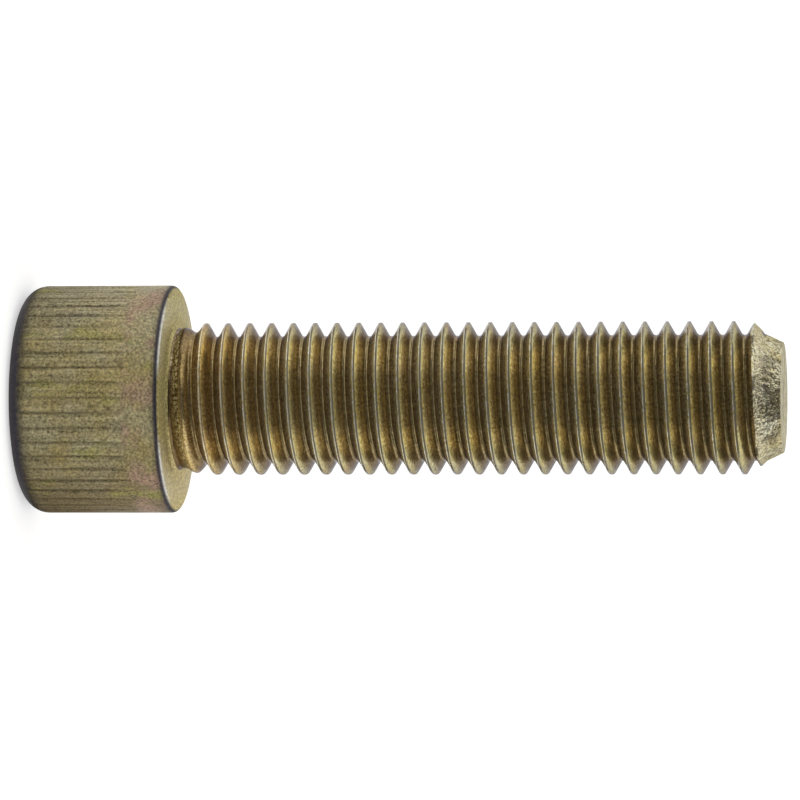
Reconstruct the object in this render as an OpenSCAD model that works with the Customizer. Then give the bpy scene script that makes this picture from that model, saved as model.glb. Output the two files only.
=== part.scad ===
// Hex socket head cap screw, fully threaded, knurled head, standing on its head.
// One forged and rolled piece: the head's flat end lies on z = 0 and the point is up.

/* [Head] */
// Diameter over the head
head_d = 20.7; // [19:0.1:24]
// Height of the head, from its flat end to the bearing face
head_h = 13.9; // [12:0.1:16]
// Rounding round the flat end of the head
rim_round = 2.1; // [0.8:0.1:2.5]
// Rounding round the bearing face
bearing_round = 0.5; // [0.2:0.1:0.9]

/* [Knurl] */
// Number of straight grooves round the head
knurl_count = 47; // [30:1:60]
// Depth of a groove
knurl_depth = 0.15; // [0.1:0.05:0.3]
// Width of a groove at the head's surface
knurl_w = 0.45; // [0.3:0.05:0.8]
// Angle of the first groove from +X, counted in grooves
knurl_start = 0.6; // [0:0.01:1]
// Height of the plain band between the grooves and the bearing face
plain_band = 3; // [2:0.1:4]

/* [Socket] */
// Size of the hexagonal socket across its flats
socket_af = 12.1; // [10:0.1:13]
// Depth of the socket's flats
socket_depth = 7.2; // [5:0.1:8]
// Diameter of the hole drilled first, whose coned floor lies below the flats
drill_d = 11.8; // [9:0.1:11.9]
// How much deeper that hole is than the flats
drill_step = 0.2; // [0.1:0.1:0.5]
// Depth of its cone
drill_cone = 1.6; // [0.5:0.1:2.5]
// Depth of the countersink at the socket's mouth
mouth_chamfer = 0.4; // [0.2:0.1:0.8]

/* [Thread] */
// Diameter over the thread's crests
thread_d = 13.8; // [12:0.05:15]
// Length from the bearing face to the point
length = 55.2; // [30:0.1:60]
// Pitch of the right-hand thread
pitch = 2; // [1.5:0.25:2.5]
// Height at which a crest passes the +X side, counted in pitches from the bearing face
thread_start = 0.841; // [0:0.001:1]
// Height above the bearing face at which the crests reach their full diameter
crest_runout = 2.4; // [1:0.1:3]
// Height above the bearing face at which the roots start to deepen
root_start = 1; // [0.5:0.1:1.5]
// Height above the bearing face at which the roots reach their full depth
root_runout = 3.4; // [2:0.1:5]
// Radius of the fillet under the head
fillet_r = 0.8; // [0.7:0.1:1.2]

/* [Point] */
// Diameter of the flat end of the point
point_d = 9.9; // [8:0.1:10.5]
// Length of the slim cone at the very end
point_cone = 1.5; // [1:0.1:2]
// Length of the steeper cone that cuts the first threads
start_cone = 1.3; // [1:0.1:2]

/* [Hidden] */
$fn = 96;

// Steps round one turn of the thread
turn_steps = 36;
// ISO metric profile: flanks at 30 degrees, flat crest of an eighth of the pitch
flank_angle = 30;
thread_depth = 0.6134 * pitch;
flank_run = thread_depth * tan(flank_angle);
crest_flat = pitch / 8;
root_flat = pitch - crest_flat - 2 * flank_run;

head_r = head_d / 2;
crest_r = thread_d / 2;
root_r = crest_r - thread_depth;
// The rolled blank is near the thread's pitch diameter
blank_r = crest_r - 0.5 * thread_depth;
point_r = point_d / 2;
point_z = head_h + length;
// How far hidden ends reach into the solid beside them, or cutters reach out of it
overlap = 1;
// How far the fillet starts inside the blank's flats
fillet_seat = 0.02;

// Share of the way from one height above the bearing face to another, held between 0 and 1
function share(z, from, to) = min(1, max(0, (z - head_h - from) / (to - from)));
// Radius of the crests, and of the roots, where the thread grows out of the blank
function crest_at(z) = blank_r + (crest_r - blank_r) * share(z, 0, crest_runout);
function root_at(z) = blank_r + (root_r - blank_r) * share(z, root_start, root_runout);

// The profile within one pitch, as [height, is it on the crest]
thread_profile = [
    [0, false],
    [root_flat, false],
    [root_flat + flank_run, true],
    [root_flat + flank_run + crest_flat, true]
];
crest_mid = root_flat + flank_run + crest_flat / 2;

// Half of the head's outline, with a rounding at each end of its side
module head_outline() {
    translate([0, rim_round]) square([head_r, head_h - rim_round - bearing_round]);
    square([head_r - rim_round, head_h / 2]);
    translate([head_r - rim_round, rim_round]) circle(rim_round);
    translate([0, head_h / 2]) square([head_r - bearing_round, head_h / 2]);
    translate([head_r - bearing_round, head_h - bearing_round]) circle(bearing_round);
}

module head_blank() {
    rotate_extrude() intersection() {
        head_outline();
        square([head_r, head_h]);
    }
}

// Cutter of a V groove along the head, whose floor rises to the surface under the plain band.
// It stands out of the surface by the groove's depth, so it is twice as wide and deep as the groove.
module knurl_groove() {
    floor_r = head_r - knurl_depth;
    outer_r = head_r + knurl_depth;
    groove_end = head_h - plain_band;
    rise = 3 * knurl_depth;
    polyhedron(
        points = [
            [floor_r, 0, -overlap],
            [outer_r, -knurl_w, -overlap],
            [outer_r, knurl_w, -overlap],
            [floor_r, 0, groove_end - rise],
            [outer_r, -knurl_w, groove_end - rise],
            [outer_r, knurl_w, groove_end - rise],
            [outer_r, 0, groove_end + rise]
        ],
        faces = [[0, 1, 2], [0, 3, 4, 1], [0, 2, 5, 3], [1, 4, 5, 2], [3, 6, 4], [3, 5, 6], [4, 6, 5]]
    );
}

module knurl() {
    for (i = [0 : knurl_count - 1]) rotate(360 * (i + knurl_start) / knurl_count) knurl_groove();
}

// Hexagon with its flats facing +Y and -Y, a drilled cone at its floor and a countersunk mouth
module socket() {
    corner_r = socket_af / 2 / cos(30);
    translate([0, 0, -overlap]) cylinder(r = corner_r, h = socket_depth + overlap, $fn = 6);
    rotate_extrude() polygon([
        [0, socket_depth - overlap],
        [drill_d / 2, socket_depth - overlap],
        [drill_d / 2, socket_depth + drill_step],
        [0, socket_depth + drill_step + drill_cone]
    ]);
    translate([0, 0, -overlap])
        cylinder(r1 = corner_r + mouth_chamfer + overlap, r2 = corner_r - overlap,
                 h = mouth_chamfer + 2 * overlap);
}

// The rolled thread, from inside the head to beyond the point: the profile is repeated at each step
// round the helix, and the last point of each profile joins the first point of the one a turn above
module thread() {
    first_z = head_h + pitch * (thread_start - 2) - crest_mid;
    turns = ceil((point_z - first_z) / pitch) + 1;
    last = turns * turn_steps;
    below_last = last - turn_steps;
    n = len(thread_profile);
    points = [
        for (k = [0 : last], p = thread_profile)
            let (
                z = first_z + pitch * k / turn_steps + p[0],
                r = p[1] ? crest_at(z) : root_at(z),
                a = 360 * k / turn_steps
            )
            [r * cos(a), r * sin(a), z]
    ];
    low_centre = len(points);
    high_centre = low_centre + 1;
    function at(k, i) = k * n + i;
    strips = [
        for (k = [0 : last - 1], i = [0 : n - 2])
            each [[at(k, i), at(k + 1, i + 1), at(k + 1, i)], [at(k, i), at(k, i + 1), at(k + 1, i + 1)]]
    ];
    seams = [
        for (k = [0 : below_last - 1])
            let (above = k + turn_steps)
            each [
                [at(k, n - 1), at(above + 1, 0), at(k + 1, n - 1)],
                [at(k, n - 1), at(above, 0), at(above + 1, 0)]
            ]
    ];
    low_cap = [
        each [for (k = [0 : turn_steps - 1]) [low_centre, at(k, 0), at(k + 1, 0)]],
        each [for (i = [0 : n - 2]) [low_centre, at(0, i + 1), at(0, i)]],
        [low_centre, at(turn_steps, 0), at(0, n - 1)]
    ];
    high_cap = [
        each [for (k = [below_last : last - 1]) [high_centre, at(k + 1, n - 1), at(k, n - 1)]],
        each [for (i = [0 : n - 2]) [high_centre, at(last, i), at(last, i + 1)]],
        [high_centre, at(below_last, n - 1), at(last, 0)]
    ];
    polyhedron(
        points = [
            each points,
            [0, 0, first_z - pitch],
            [0, 0, first_z + pitch * (turns + 2)]
        ],
        faces = [each strips, each seams, each low_cap, each high_cap]
    );
}

// What the point leaves of the thread: a steep cone, a slim cone and a flat end
module point_envelope() {
    wide_r = crest_r + overlap;
    low_z = head_h - 4 * pitch;
    // The edge between the cones lies just outside the roots, so that the two don't coincide
    edge_r = root_r + 0.05;
    steep_slope = start_cone / (crest_r - edge_r);
    rotate_extrude() polygon([
        [0, low_z],
        [wide_r, low_z],
        [wide_r, point_z - point_cone - steep_slope * (wide_r - edge_r)],
        [edge_r, point_z - point_cone],
        [point_r, point_z],
        [0, point_z]
    ]);
}

module shank() {
    intersection() {
        thread();
        point_envelope();
    }
}

// Ring that rounds the bearing face into the blank
module under_head_fillet() {
    start_r = blank_r * cos(180 / turn_steps) - fillet_seat;
    rotate_extrude() difference() {
        translate([start_r - overlap, head_h - overlap]) square(overlap + fillet_r);
        translate([start_r + fillet_r, head_h + fillet_r]) circle(fillet_r);
    }
}

module cap_screw() {
    color("darkkhaki") difference() {
        union() {
            head_blank();
            under_head_fillet();
            shank();
        }
        socket();
        knurl();
    }
}

cap_screw();
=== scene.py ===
"""Dresses the hex socket head cap screw: one closed skin with the true thread, knurl and socket,
in yellow passivated zinc plating, on a white ground."""
from math import ceil, cos, pi, radians, sin, tan

import bpy
import numpy as np
from mathutils import Matrix, Vector


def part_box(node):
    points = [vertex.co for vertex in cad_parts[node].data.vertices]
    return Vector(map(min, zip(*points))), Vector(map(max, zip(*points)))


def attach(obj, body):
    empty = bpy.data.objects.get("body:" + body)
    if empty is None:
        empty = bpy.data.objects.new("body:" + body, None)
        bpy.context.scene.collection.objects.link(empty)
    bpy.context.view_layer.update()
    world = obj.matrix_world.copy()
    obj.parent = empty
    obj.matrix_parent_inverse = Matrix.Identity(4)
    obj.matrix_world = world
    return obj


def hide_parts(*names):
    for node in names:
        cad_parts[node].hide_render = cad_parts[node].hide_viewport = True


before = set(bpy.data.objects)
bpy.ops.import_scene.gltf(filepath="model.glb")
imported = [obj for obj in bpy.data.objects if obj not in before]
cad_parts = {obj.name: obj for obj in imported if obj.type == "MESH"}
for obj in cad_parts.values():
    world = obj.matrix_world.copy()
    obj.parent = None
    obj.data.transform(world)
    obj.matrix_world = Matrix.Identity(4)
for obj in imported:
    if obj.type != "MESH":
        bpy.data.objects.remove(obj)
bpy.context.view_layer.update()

# Sizes in millimetres, those of the solid where nothing else is said
MM = 0.001
NODE_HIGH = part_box("cap_screw")[1]
HEAD_R = NODE_HIGH.x / MM
POINT_Z = NODE_HIGH.z / MM
HEAD_H = 13.9
RIM_ROUND = 2.1
BEARING_ROUND = 0.5

KNURLS = 47
KNURL_DEPTH = 0.15
KNURL_HALF = 0.225
KNURL_START = 0.6
PLAIN_BAND = 3.0
BAND_Z = HEAD_H - PLAIN_BAND
GROOVE_RISE = 3 * KNURL_DEPTH

SOCKET_FLAT = 6.05
SOCKET_DEPTH = 7.2
SOCKET_CORNER = SOCKET_FLAT / cos(pi / 6)
MOUTH_R = SOCKET_CORNER + 0.4
DRILL_R = 5.9
DRILL_DEPTH = 7.4
DRILL_CONE = 1.6

PITCH = 2.0
CREST_R = 6.9
THREAD_DEPTH = 0.6134 * PITCH
ROOT_R = CREST_R - THREAD_DEPTH
BLANK_R = CREST_R - THREAD_DEPTH / 2
# A crest passes the +X side 0.05 mm higher than on the solid, where the photo shows it
THREAD_START = 0.866 * PITCH
FLANK = radians(30)
CREST_FLAT = PITCH / 8
# Roundings of the crests and the roots, which are flat on the solid
CREST_ARC = 0.08
ROOT_ARC = 0.28
CREST_RUNOUT = 2.4
ROOT_START, ROOT_RUNOUT = 1.0, 3.4

FILLET_R = 0.8
FILLET_START = BLANK_R * cos(pi / 36) - 0.02
# How far the fillet turns up from the bearing face before the blank hides it
FILLET_TURN = radians(46)
POINT_R = 4.95
POINT_CONE = 1.5
START_CONE = 1.3
# Rounding of the flat end, which is sharp on the solid
POINT_ROUND = 0.12

# Edges that are sharper than this are shaded as edges
SHARP_ANGLE = radians(38)

# Steps round the head in one knurl, round the socket in one flat, and round the thread
KNURL_STEPS = 12
FLAT_STEPS = 14
TURN_STEPS = 112


class Skin:
    """Points and faces of one closed mesh. Each point has three marks from 0 to 1: how deep it lies in a
    groove, which the plating turns into painted shade, how much it belongs to an outer edge, which it
    turns into a painted dark reflection, and how strong a painted glint lies on it."""

    def __init__(self):
        self.points = []
        self.recess = []
        self.edge = []
        self.glint = []
        self.faces = []
        self.parts = []
        self.part = 0

    def ring(self, angles, radius, height, recess=0.0, edge=0.0, glint=0.0):
        """Adds one point for each angle, and returns the points' numbers."""
        values = (radius, height, recess, edge, glint)
        radius, height, recess, edge, glint = (np.broadcast_to(v, angles.shape) for v in values)
        first = len(self.points)
        self.points += zip(radius * np.cos(angles), radius * np.sin(angles), height)
        self.recess += list(recess)
        self.edge += list(edge)
        self.glint += list(glint)
        return np.arange(first, len(self.points))

    def face(self, *corners):
        """Adds a face, less the corners that fall together."""
        kept = [c for i, c in enumerate(corners) if c != corners[i - 1]]
        if len(kept) > 2:
            self.faces.append([int(c) for c in kept])
            self.parts.append(self.part)

    def band(self, low, high):
        """Joins two rings with the same number of points."""
        for i in range(len(low)):
            j = (i + 1) % len(low)
            self.face(low[i], low[j], high[j], high[i])

    def bridge(self, low, high, low_angles, high_angles):
        """Joins two rings with different numbers of points, always by the nearer next point."""
        i = j = 0
        while i < len(low) or j < len(high):
            next_low = low_angles[i + 1] if i + 1 < len(low) else low_angles[0] + 2 * pi
            next_high = high_angles[j + 1] if j + 1 < len(high) else high_angles[0] + 2 * pi
            a, b = low[i % len(low)], high[j % len(high)]
            if j == len(high) or (i < len(low) and next_low <= next_high):
                self.face(a, low[(i + 1) % len(low)], b)
                i += 1
            else:
                self.face(a, high[(j + 1) % len(high)], b)
                j += 1

    def cap(self, ring, height, closes_end):
        """Closes a ring with a fan to a point on the axis."""
        centre = self.ring(np.zeros(1), 0, height)[0]
        for i in range(len(ring)):
            j = (i + 1) % len(ring)
            if closes_end:
                self.face(ring[i], ring[j], centre)
            else:
                self.face(ring[j], ring[i], centre)


def steps(first, last, count):
    """Evenly spaced values from first to last, without first itself."""
    return [first + (last - first) * (i + 1) / count for i in range(count)]


def share(value, low, high):
    """How far a value is on its way from low to high, held between 0 and 1."""
    return np.clip((value - low) / (high - low), 0, 1)


# Socket


def hexagon(angles):
    """Distance of the socket's flats from the axis, with two of them square to Y."""
    off_flat = (angles + pi / 6 - pi / 2) % (pi / 3) - pi / 6
    return SOCKET_FLAT / np.cos(off_flat)


def add_socket(skin):
    """From the drilled cone out to the countersink's edge. Returns that edge's points and angles."""
    angles = np.arange(6 * FLAT_STEPS) * 2 * pi / (6 * FLAT_STEPS)
    ring = skin.ring(angles, 0.25 * DRILL_R, DRILL_DEPTH + 0.75 * DRILL_CONE, 1)
    skin.cap(ring, DRILL_DEPTH + DRILL_CONE, closes_end=False)
    outline = [(DRILL_R * s, DRILL_DEPTH + DRILL_CONE * (1 - s)) for s in (0.5, 0.75, 1)]
    outline.append((DRILL_R, SOCKET_DEPTH))
    for radius, height in outline:
        outer = skin.ring(angles, radius, height, 1)
        skin.band(ring, outer)
        ring = outer
    flats = hexagon(angles)
    mouth = MOUTH_R - flats
    for way in [0, *steps(0, 1, 8)]:
        outer = skin.ring(angles, flats, SOCKET_DEPTH + (mouth - SOCKET_DEPTH) * way, 1 - way)
        skin.band(ring, outer)
        ring = outer
    for way in steps(0, 1, 3):
        outer = skin.ring(angles, flats + (MOUTH_R - flats) * way, mouth * (1 - way))
        skin.band(ring, outer)
        ring = outer
    return ring, angles


# Head


def knurl_angles():
    """Angles round the head, close together at each groove."""
    half = pi / KNURLS
    groove = KNURL_HALF / HEAD_R
    inside = [0, 0.18 * groove, 0.6 * groove, groove, 1.25 * groove, (groove + half) / 1.9]
    period = sorted([-a for a in inside[1:]] + inside + [half])
    return np.array([2 * pi * (i + KNURL_START) / KNURLS + a for i in range(KNURLS) for a in period])


def head_outline():
    """Half outline of the head's side, from its flat end to its bearing face, as (radius, height, edge,
    glint), where glint is a painted highlight."""
    rim = [
        (HEAD_R - RIM_ROUND * (1 - sin(a)), RIM_ROUND * (1 - cos(a)), share(a, 1.5, 1.0), 0)
        for a in [0, *steps(0, pi / 2, 10)]
    ]
    side_z = [4.2, 6.6, 8.6, *steps(BAND_Z - 3.2 * KNURL_DEPTH, BAND_Z + 0.2, 4), 12.2, 13.0]
    bearing = [
        (HEAD_R - BEARING_ROUND * (1 - cos(a)), HEAD_H - BEARING_ROUND * (1 - sin(a)), edge, glint)
        for a, edge, glint in zip(
            [0, *steps(0, pi / 2, 6)], (0.3, 0.8, 1, 1, 0.4, 0, 0), (0, 0, 0, 0.2, 1, 1, 0.3)
        )
    ]
    return rim + [(HEAD_R, z, 0, 0) for z in side_z] + bearing


def add_head(skin, rng):
    """From the flat end's rounding to the bearing face. Returns both ends' points, and their angles."""
    angles = knurl_angles()
    per_groove = rng.uniform(0.6, 1.0, KNURLS)
    end_shift = rng.uniform(-0.35, 0.2, KNURLS)
    groove = np.repeat(np.arange(KNURLS), KNURL_STEPS)
    middle = 2 * pi * (groove + KNURL_START) / KNURLS
    vee = 1 - np.abs(angles - middle) * HEAD_R / KNURL_HALF
    first = ring = None
    for radius, z, edge, glint in head_outline():
        end = BAND_Z + end_shift[groove]
        left = share(end - z, 0, GROOVE_RISE)
        depth = KNURL_DEPTH * per_groove[groove] * left * np.clip(vee, 0, 1)
        cut = np.minimum(radius, HEAD_R - depth)
        recess = np.where(cut < radius, depth / KNURL_DEPTH, 0)
        outer = skin.ring(angles, cut, z, recess, edge, glint)
        if ring is None:
            first = outer
        else:
            skin.band(ring, outer)
        ring = outer
    return first, ring, angles


# Thread


def arc(centre_z, centre_r, radius, first, last, count):
    """Points round an arc, by the angle of their normal from the axis."""
    return [
        (centre_z + radius * sin(a), centre_r + radius * cos(a))
        for a in [first + (last - first) * i / (count - 1) for i in range(count)]
    ]


def thread_profile():
    """One pitch of the thread, from the middle of a root, as (height, radius, edge, glint). A painted
    glint lies on the crest's side towards the head, and its top is an edge."""
    tilt = pi / 2 - FLANK
    crest_in = CREST_ARC * tan(tilt / 2)
    root_in = ROOT_ARC * tan(tilt / 2)
    crest_corner = PITCH / 2 - CREST_FLAT / 2
    root_corner = crest_corner - THREAD_DEPTH * tan(FLANK)
    root = arc(root_corner - root_in, ROOT_R + ROOT_ARC, -ROOT_ARC, 0, -tilt, 6)
    crest = arc(crest_corner + crest_in, CREST_R - CREST_ARC, CREST_ARC, -tilt, 0, 4)
    (z0, r0), (z1, r1) = root[-1], crest[0]
    flank = [(z0 + (z1 - z0) * s, r0 + (r1 - r0) * s) for s in (1 / 3, 2 / 3)]
    rise = root + flank + crest
    edge = [0] * 9 + [0.3, 0.7, 1]
    glint = [0] * 5 + [0.1, 0.3, 0.55, 0.8, 0.95, 1, 0.8]
    up = [(z, r, e, w) for (z, r), e, w in zip(rise, edge, glint)]
    down = [(PITCH - z, r, e, 0) for z, r, e, _ in reversed(up)]
    return up + [(PITCH / 2, CREST_R, 1, 0.2)] + down


def thread_radius(z, full):
    """Radius of the shank where the full thread has the radius full, with the run-out and the fillet
    under the head."""
    above = z - HEAD_H
    crest = BLANK_R + (CREST_R - BLANK_R) * share(above, 0, CREST_RUNOUT)
    root = BLANK_R + (ROOT_R - BLANK_R) * share(above, ROOT_START, ROOT_RUNOUT)
    radius = root + (crest - root) * (full - ROOT_R) / THREAD_DEPTH
    in_fillet = np.clip(FILLET_R - above, 0, FILLET_R)
    fillet = FILLET_START + FILLET_R - np.sqrt(FILLET_R**2 - in_fillet**2)
    return np.maximum(radius, np.where(above < FILLET_R, fillet, 0))


def cone_radius(z):
    """Radius of the two cones at the point."""
    left = POINT_Z - z
    slim = POINT_R + (ROOT_R - POINT_R) * left / POINT_CONE
    steep = ROOT_R + THREAD_DEPTH * (left - POINT_CONE) / START_CONE
    return np.where(left < POINT_CONE, slim, steep)


def add_fillet(skin, ring, ring_angles, angles):
    """From the bearing face's outer edge to the blank. Returns the last ring."""
    inner = skin.ring(angles, FILLET_START + FILLET_R, HEAD_H)
    skin.bridge(ring, inner, ring_angles, angles)
    for a in steps(0, FILLET_TURN, 4):
        radius = FILLET_START + FILLET_R * (1 - sin(a))
        # The fillet gets recess 0.3, so that the plating's painted shade darkens it
        outer = skin.ring(angles, radius, HEAD_H + FILLET_R * (1 - cos(a)), 0.3)
        skin.band(inner, outer)
        inner = outer
    return inner


def add_thread(skin, angles, low_ring, low_z, high_ring, high_z):
    """The helix between two rings, with the thread's film, and the point's where the cones cut it.
    Each row of points climbs one pitch in a turn, and joins the row one profile further on."""
    profile = thread_profile()
    first_z = HEAD_H + THREAD_START - 2.5 * PITCH
    turns = ceil((POINT_Z - first_z) / PITCH) + 1
    rows = []
    cut_rows = []
    for turn in range(turns):
        for height, full, edge, glint in profile:
            z = first_z + PITCH * (turn + angles / (2 * pi)) + height
            thread = thread_radius(np.clip(z, low_z, high_z), full)
            cone = cone_radius(z)
            cut = cone < thread
            radius = np.minimum(thread, cone)
            recess = np.clip((CREST_R - full) / THREAD_DEPTH, 0, 1)
            edges = np.where(cut, 0, edge * share(z, HEAD_H + 2, HEAD_H + 5))
            # On the cones the glint mark is a painted highlight on the steeper cone
            glints = np.where(cut, share(POINT_Z - z, POINT_CONE, POINT_CONE + 0.3), glint)
            row = np.where(z <= low_z, low_ring, high_ring)
            free = (z > low_z) & (z < high_z)
            row[free] = skin.ring(angles[free], radius[free], z[free], recess, edges[free], glints[free])
            rows.append(row)
            cut_rows.append(cut)
    wrap = len(profile)
    for r in range(len(rows) - 1):
        low, high = rows[r], rows[r + 1]
        both_cut = cut_rows[r] & cut_rows[r + 1]
        for k in range(TURN_STEPS - 1):
            skin.part = 2 if both_cut[k] and both_cut[k + 1] else 1
            skin.face(low[k], low[k + 1], high[k + 1], high[k])
        if r + 1 + wrap < len(rows):
            skin.part = 2 if both_cut[-1] and cut_rows[r + wrap][0] else 1
            skin.face(low[-1], rows[r + wrap][0], rows[r + 1 + wrap][0], high[-1])


def add_point_end(skin, angles, ring, ring_r, ring_z):
    """From the top of the cones over a small rounding to the middle of the flat end."""
    skin.part = 2
    for a in steps(0, pi / 2, 3):
        radius = ring_r - POINT_ROUND * (1 - cos(a))
        outer = skin.ring(angles, radius, ring_z + POINT_ROUND * sin(a))
        skin.band(ring, outer)
        ring = outer
    for radius in steps(ring_r - POINT_ROUND, 0.15 * POINT_R, 4):
        outer = skin.ring(angles, radius, POINT_Z)
        skin.band(ring, outer)
        ring = outer
    skin.cap(ring, POINT_Z, closes_end=True)


def add_shank(skin, ring, ring_angles):
    """From the bearing face's outer edge to the end of the point."""
    angles = np.arange(TURN_STEPS) * 2 * pi / TURN_STEPS
    low_ring = add_fillet(skin, ring, ring_angles, angles)
    low_z = HEAD_H + FILLET_R * (1 - cos(FILLET_TURN))
    high_z = POINT_Z - POINT_ROUND
    high_r = cone_radius(high_z)
    high_ring = skin.ring(angles, high_r, high_z)
    add_thread(skin, angles, low_ring, low_z, high_ring, high_z)
    add_point_end(skin, angles, high_ring, high_r, high_z)


def make_screw():
    """The whole screw as one closed mesh object."""
    rng = np.random.default_rng(4)
    skin = Skin()
    mouth, mouth_angles = add_socket(skin)
    rim, bearing, head_angles = add_head(skin, rng)
    skin.bridge(mouth, rim, mouth_angles, head_angles)
    add_shank(skin, bearing, head_angles)

    mesh = bpy.data.meshes.new("cap_screw_skin")
    mesh.from_pydata([Vector(p) * MM for p in skin.points], [], skin.faces)
    for name, values in (("recess", skin.recess), ("edge", skin.edge), ("glint", skin.glint)):
        mesh.attributes.new(name, "FLOAT", "POINT").data.foreach_set("value", np.array(values, float))
    for material in (head_plating(), thread_plating(), point_plating()):
        mesh.materials.append(material)
    mesh.polygons.foreach_set("material_index", skin.parts)
    mesh.update()
    mesh.shade_smooth()
    mesh.set_sharp_from_angle(angle=SHARP_ANGLE)
    screw = bpy.data.objects.new("cap_screw_skin", mesh)
    bpy.context.scene.collection.objects.link(screw)
    normals = screw.modifiers.new("even_normals", "WEIGHTED_NORMAL")
    normals.keep_sharp = True
    return screw


# Materials

HEAD_GOLD = (0.46, 0.375, 0.165)
HEAD_PALE = (0.48, 0.42, 0.24)


class Nodes:
    """Short calls for building a material's nodes."""

    def __init__(self, material):
        material.use_nodes = True
        self.tree = material.node_tree
        self.tree.nodes.clear()

    def add(self, kind):
        return self.tree.nodes.new(kind)

    def link(self, source, node, name):
        self.tree.links.new(source, node.inputs[name])

    def feed(self, value, socket):
        """Sets a socket to a number or a colour, or links another node's output to it."""
        if isinstance(value, (int, float)):
            socket.default_value = value
        elif isinstance(value, tuple):
            socket.default_value = (*value, 1)
        else:
            self.tree.links.new(value, socket)

    def noise(self, coords, scale, detail=4.0, roughness=0.6, stretch=(1, 1, 1)):
        """Noise from 0 to 1, scale per metre."""
        mapping = self.add("ShaderNodeMapping")
        mapping.inputs["Scale"].default_value = stretch
        self.link(coords, mapping, "Vector")
        noise = self.add("ShaderNodeTexNoise")
        noise.inputs["Scale"].default_value = scale
        noise.inputs["Detail"].default_value = detail
        noise.inputs["Roughness"].default_value = roughness
        self.link(mapping.outputs["Vector"], noise, "Vector")
        return noise.outputs["Fac"]

    def ramp(self, value, low, high, to_low=0.0, to_high=1.0):
        """value from low to high, as to_low to to_high, held at both ends."""
        node = self.add("ShaderNodeMapRange")
        self.link(value, node, "Value")
        names = ("From Min", "From Max", "To Min", "To Max")
        for name, number in zip(names, (low, high, to_low, to_high)):
            node.inputs[name].default_value = number
        return node.outputs["Result"]

    def math(self, operation, first, second):
        node = self.add("ShaderNodeMath")
        node.operation = operation
        self.feed(first, node.inputs[0])
        self.feed(second, node.inputs[1])
        return node.outputs["Value"]

    def blend(self, amount, first, second, blend_type="MIX"):
        """Mix of two colours, from first to second by an amount from 0 to 1."""
        node = self.add("ShaderNodeMix")
        node.data_type = "RGBA"
        node.blend_type = blend_type
        self.feed(amount, node.inputs["Factor"])
        for name, value in (("A", first), ("B", second)):
            self.feed(value, next(s for s in node.inputs if s.name == name and s.type == "RGBA"))
        return next(s for s in node.outputs if s.type == "RGBA")


class Plating(Nodes):
    """Yellow passivated zinc: a gold film over metal, in patches from pale to gold, with a fine grain."""

    def __init__(self, name, gold, pale, spread):
        self.material = bpy.data.materials.new(name)
        super().__init__(self.material)
        self.coords = self.add("ShaderNodeTexCoord").outputs["Object"]
        parts = self.add("ShaderNodeSeparateXYZ")
        self.link(self.coords, parts, "Vector")
        self.place = {axis: parts.outputs[axis] for axis in "XYZ"}
        self.cloud = self.noise(self.coords, spread, 3)
        self.grain = self.noise(self.coords, 4300, 3, 0.75)
        self.colour = self.blend(self.ramp(self.cloud, 0.38, 0.62), gold, pale)

    def mark(self, name):
        """One of the skin's marks."""
        node = self.add("ShaderNodeAttribute")
        node.attribute_name = name
        return node.outputs["Fac"]

    def tint(self, amount, colour):
        """Turns the colour towards another."""
        self.colour = self.blend(amount, self.colour, colour)

    def shade(self, amount):
        """Makes the colour lighter or darker by a factor."""
        grey = self.add("ShaderNodeCombineColor")
        for channel in ("Red", "Green", "Blue"):
            self.link(amount, grey, channel)
        self.colour = self.blend(1.0, self.colour, grey.outputs["Color"], "MULTIPLY")

    def speckles(self, low, high):
        """The grain with its contrast raised, from low to high."""
        return self.ramp(self.grain, 0.35, 0.6, low, high)

    def patches(self, scale, low, high, amount, stretch=(1, 1, 1)):
        """Up to amount where a noise rises from low to high, and 0 elsewhere."""
        return self.ramp(self.noise(self.coords, scale, 3, 0.6, stretch), low, high, 0, amount)

    def finish(self, metallic, roughness, height, depth, strength, grazing=(0.5, 0.46, 0.36)):
        """Adds the shader, with a roughness that follows the patches, a bump of depth in millimetres
        from height, and a tint for what it mirrors at a grazing angle."""
        bump = self.add("ShaderNodeBump")
        bump.inputs["Strength"].default_value = strength
        bump.inputs["Distance"].default_value = depth * MM
        self.link(height, bump, "Height")
        shader = self.add("ShaderNodeBsdfPrincipled")
        self.feed(metallic, shader.inputs["Metallic"])
        self.link(self.colour, shader, "Base Color")
        self.feed(grazing, shader.inputs["Specular Tint"])
        self.link(self.ramp(self.cloud, 0.3, 0.7, *roughness), shader, "Roughness")
        self.link(bump.outputs["Normal"], shader, "Normal")
        output = self.add("ShaderNodeOutputMaterial")
        self.link(shader.outputs["BSDF"], output, "Surface")
        return self.material


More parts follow.
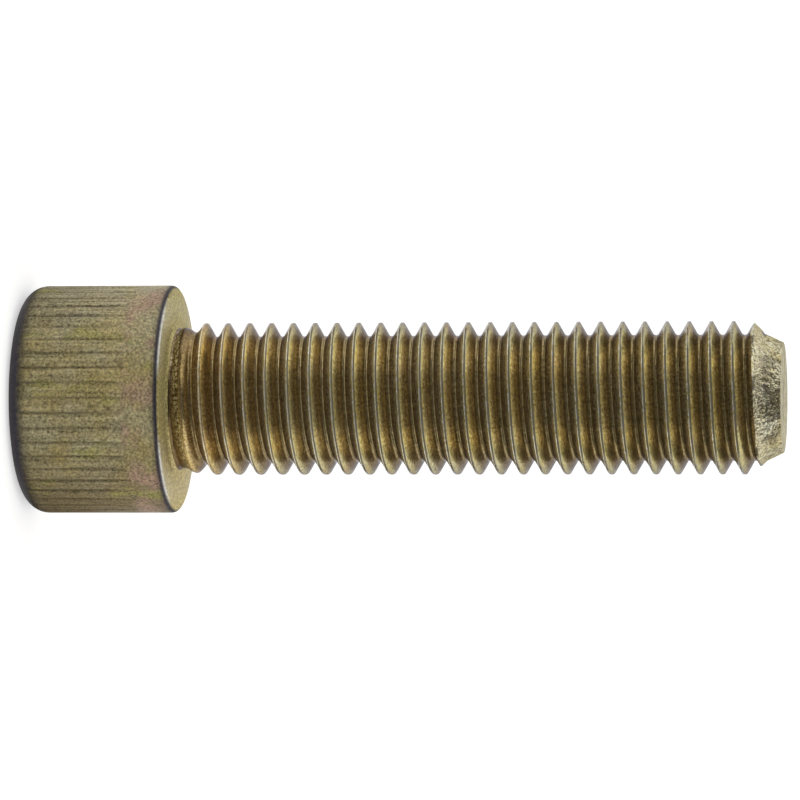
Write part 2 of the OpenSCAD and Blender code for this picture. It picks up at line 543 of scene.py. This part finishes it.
def head_plating():
    """Dull olive gold, streaked along the knurl, with pink patches beside it. Painted shade darkens the
    grooves, the socket and the +X side, painted light pales the −X side and the bearing face, the edges
    carry a blue-black painted dark reflection, and two stretches of the bearing face's edge carry a
    painted glint."""
    film = Plating("head_plating", HEAD_GOLD, HEAD_PALE, 260)
    knurled = film.ramp(film.place["Z"], BAND_Z * MM, (BAND_Z - 0.6) * MM)
    outside = film.ramp(film.place["Z"], (HEAD_H - 0.1) * MM, (HEAD_H - 0.3) * MM)
    face = film.ramp(outside, 0, 1, 1, 0)
    bare_band = film.math("SUBTRACT", outside, knurled)
    # Painted shade darkens the head towards +X, and painted light pales it towards −X
    film.tint(film.ramp(film.place["X"], 3 * MM, 10 * MM, 0, 0.8), (0.16, 0.11, 0.055))
    film.tint(film.ramp(film.place["X"], -6 * MM, -10 * MM, 0, 0.5), (0.50, 0.45, 0.34))
    film.tint(film.patches(420, 0.56, 0.68, 0.5, (1, 1, 0.5)), (0.42, 0.40, 0.10))
    film.tint(film.math("MULTIPLY", bare_band, film.patches(330, 0.45, 0.6, 0.75)), (0.46, 0.30, 0.22))
    # Painted shade: the plating darkens in the knurl's grooves, the socket and round the fillet, by the
    # recess mark
    film.tint(film.math("MULTIPLY", film.mark("recess"), 0.55), (0.07, 0.06, 0.04))
    # Painted light: the bearing face is paler gold than the side, and paler still towards +X
    film.tint(film.math("MULTIPLY", face, 0.9), (0.66, 0.57, 0.25))
    painted_light = film.ramp(film.place["X"], 0, 9 * MM, 0, 0.7)
    film.tint(film.math("MULTIPLY", face, painted_light), (0.86, 0.70, 0.34))
    streaks = film.noise(film.coords, 2600, 2, 0.6, (1, 1, 0.05))
    streaked = film.math("MULTIPLY", film.ramp(streaks, 0.3, 0.7, -0.3, 0.3), knurled)
    film.shade(film.math("ADD", film.ramp(film.grain, 0.3, 0.7, 0.3, 1.7), streaked))
    # Painted dark reflection: the rim and the bearing edge turn blue-black by the edge mark
    film.tint(film.math("MULTIPLY", film.mark("edge"), 0.95), (0.022, 0.022, 0.05))
    # Painted highlight: a speckled white glint on the bearing face's edge, kept off its middle and its
    # ends
    across = film.math("ABSOLUTE", film.place["X"], 0)
    off_middle = film.ramp(across, 2.4 * MM, 4 * MM)
    off_ends = film.ramp(across, 9.5 * MM, 8 * MM)
    stretch = film.math("MULTIPLY", off_middle, off_ends)
    glint = film.math("MULTIPLY", film.mark("glint"), film.speckles(0.5, 1.0))
    film.tint(film.math("MULTIPLY", glint, stretch), (1.0, 1.0, 0.96))
    height = film.math("ADD", film.grain, film.math("MULTIPLY", streaked, 1.5))
    metallic = film.ramp(outside, 0, 1, 0.55, 0.4)
    return film.finish(metallic, (0.42, 0.52), height, 0.05, 0.35)


def thread_plating():
    """Brighter gold, from orange at the head to greenish at the point. Painted shade darkens the roots
    and a painted shadow the thread's foot, a grey painted dark reflection lies on the crests, and a pale
    painted glint on their side towards the head."""
    film = Plating("thread_plating", (0.82, 0.69, 0.31), (0.84, 0.75, 0.43), 260)
    film.tint(film.ramp(film.place["Z"], 16 * MM, 26 * MM, 0.45, 0), (0.72, 0.42, 0.12))
    film.tint(film.ramp(film.place["Z"], 40 * MM, 66 * MM, 0, 0.4), (0.70, 0.64, 0.30))
    film.tint(film.patches(190, 0.58, 0.72, 0.4), (0.75, 0.46, 0.28))
    # Painted shadow: a dark band at the thread's foot beside the bearing face
    film.tint(film.ramp(film.place["Z"], 14.9 * MM, 15.6 * MM, 0.95, 0), (0.10, 0.055, 0.02))
    # Painted shade: the thread's roots darken by the recess mark
    film.tint(film.ramp(film.mark("recess"), 0.2, 0.5, 0, 0.75), (0.30, 0.205, 0.09))
    # Painted dark reflection: grey on the crests, by the edge mark
    film.tint(film.math("MULTIPLY", film.mark("edge"), film.speckles(-0.5, 1.1)), (0.26, 0.25, 0.26))
    # Painted highlight: a pale speckled glint on the crests' side towards the head
    film.tint(film.math("MULTIPLY", film.mark("glint"), film.speckles(-0.4, 1.0)), (1.0, 0.93, 0.76))
    film.shade(film.ramp(film.grain, 0.3, 0.7, 0.45, 1.55))
    return film.finish(0.9, (0.14, 0.22), film.grain, 0.04, 0.45, (0.4, 0.4, 0.48))


def point_plating():
    """Pale, bright and dimpled, as the sheared end of the blank is, with a painted glint on the steeper
    cone.
    """
    film = Plating("point_plating", (0.78, 0.68, 0.38), (0.93, 0.87, 0.64), 700)
    film.tint(film.patches(520, 0.5, 0.6, 0.6), (0.20, 0.17, 0.10))
    film.tint(film.patches(2600, 0.5, 0.62, 0.7), (0.16, 0.13, 0.07))
    # Painted highlight: a pale glint on the steeper cone
    film.tint(film.math("MULTIPLY", film.mark("glint"), film.speckles(0.5, 1.0)), (0.85, 0.76, 0.52))
    film.shade(film.ramp(film.grain, 0.3, 0.7, 0.5, 1.5))
    dimples = film.noise(film.coords, 2600, 2, 0.5)
    return film.finish(0.9, (0.14, 0.24), dimples, 0.3, 0.9, (0.62, 0.58, 0.42))


# Stage


def seen(nodes):
    """1 for what the camera, reflections and glass see, and 0 for what lights other things."""
    path = nodes.add("ShaderNodeLightPath")
    either = nodes.math("MAXIMUM", path.outputs["Is Camera Ray"], path.outputs["Is Glossy Ray"])
    return nodes.math("MAXIMUM", either, path.outputs["Is Transmission Ray"])


def make_sheet(name, corners, shader_of):
    """A flat sheet of the stage, with corners in metres. shader_of makes its shader from the nodes."""
    mesh = bpy.data.meshes.new(name)
    mesh.from_pydata(corners, [], [range(len(corners))])
    sheet = bpy.data.objects.new(name, mesh)
    bpy.context.scene.collection.objects.link(sheet)
    material = bpy.data.materials.new(name)
    nodes = Nodes(material)
    output = nodes.add("ShaderNodeOutputMaterial")
    nodes.link(shader_of(nodes), output, "Surface")
    mesh.materials.append(material)
    return sheet


def plain(colour):
    """Makes a matt shader of one colour."""

    def shader(nodes):
        diffuse = nodes.add("ShaderNodeBsdfDiffuse")
        diffuse.inputs["Color"].default_value = (*colour, 1)
        return diffuse.outputs["BSDF"]

    return shader


def lifted(colour, lift):
    """Makes a matt shader that looks brighter by lift than it is lit, and keeps its shadows."""

    def shader(nodes):
        glow = nodes.add("ShaderNodeEmission")
        nodes.link(nodes.math("MULTIPLY", seen(nodes), lift), glow, "Strength")
        both = nodes.add("ShaderNodeAddShader")
        nodes.tree.links.new(plain(colour)(nodes), both.inputs[0])
        nodes.tree.links.new(glow.outputs["Emission"], both.inputs[1])
        return both.outputs["Shader"]

    return shader


def make_floor():
    size = 6.0
    corners = [(-size, -size, 0), (size, -size, 0), (size, size, 0), (-size, size, 0)]
    make_sheet("white_floor", corners, lifted((0.85, 0.85, 0.85), 0.5))


def make_card(name, corners, grey):
    """A plain sheet that only the metal's reflections see."""
    card = make_sheet(name, corners, plain((grey, grey, grey)))
    card.visible_camera = False
    card.visible_diffuse = False
    card.visible_shadow = False


def ring_corners(inner, outer, first, last, height):
    """Corners of a flat ring, or of a part of one between two angles in degrees."""
    turn = [radians(a) for a in range(first, last + 1, 10)]
    far = [(outer * cos(a), outer * sin(a), height) for a in turn]
    near = [(inner * cos(a), inner * sin(a), height) for a in reversed(turn)]
    return far + near


def flat_corners(half, front, back, height):
    """Corners of a flat rectangle, as wide on both sides of the screw."""
    return [(-half, front, height), (half, front, height), (half, back, height), (-half, back, height)]


def make_booth():
    """A grey booth round the camera, open behind the screw. Its floor and the mats round the screw lie on
    the ground as grey sheets that only reflections see, a painted shade of the white ground in them.
    """
    wide, front, high, side_high = 0.9, -0.7, 0.9, 0.5
    ground = 0.00002
    back = [(-wide, front, 0), (wide, front, 0), (wide, front, high), (-wide, front, high)]
    make_card("booth_back", back, 0.14)
    make_card("booth_top", flat_corners(0.4, front, 0.25, high), 0.08)
    for name, x in (("booth_left", -wide), ("booth_right", wide)):
        make_card(name, [(x, front, 0), (x, 0, 0), (x, 0, side_high), (x, front, side_high)], 0.2)
    make_card("booth_floor", flat_corners(wide, front, -0.06, ground), 0.16)
    # Painted shade: these grey rings stand for the ground's shade near the screw, in reflections only
    mats = (
        ("front_mat", 0.04, 0.11, 210, 330, 0.6),
        ("near_mat", 0.0105, 0.04, 0, 360, 0.14),
        ("right_floor", 0.11, 0.9, -30, 50, 0.16),
        ("left_floor", 0.11, 0.9, 130, 210, 0.16),
    )
    for name, inner, outer, first, last, grey in mats:
        make_card(name, ring_corners(inner, outer, first, last, 2 * ground), grey)


def make_world(strength):
    """White where the camera sees it, and an even light of the given strength elsewhere."""
    world = bpy.data.worlds.new("studio")
    bpy.context.scene.world = world
    nodes = Nodes(world)
    back = nodes.add("ShaderNodeBackground")
    back.inputs["Color"].default_value = (1, 1, 1, 1)
    camera_ray = nodes.add("ShaderNodeLightPath").outputs["Is Camera Ray"]
    nodes.link(nodes.ramp(camera_ray, 0, 1, strength, 1), back, "Strength")
    output = nodes.add("ShaderNodeOutputWorld")
    nodes.link(back.outputs["Background"], output, "Surface")


def make_camera():
    """The photo's view: a long lens from 488 mm away, a little above the middle, turned on its side."""
    place = Vector((-34.82, -481.69, 101.36)) * MM
    aim = Vector((0.134, 0, 34.34)) * MM
    roll = radians(89.861)
    data = bpy.data.cameras.new("camera")
    data.sensor_width = 36
    data.lens = 242.32
    data.clip_start = 0.01
    data.clip_end = 100
    camera = bpy.data.objects.new("camera", data)
    turn = (aim - place).to_track_quat("-Z", "Y").to_matrix().to_4x4()
    camera.matrix_world = Matrix.Translation(place) @ turn @ Matrix.Rotation(roll, 4, "Z")
    bpy.context.scene.collection.objects.link(camera)
    bpy.context.scene.camera = camera


bpy.context.scene.view_settings.view_transform = "Standard"
make_camera()
screw = make_screw()
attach(screw, "root")
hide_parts("cap_screw")
make_floor()
make_booth()
make_world(0.8)
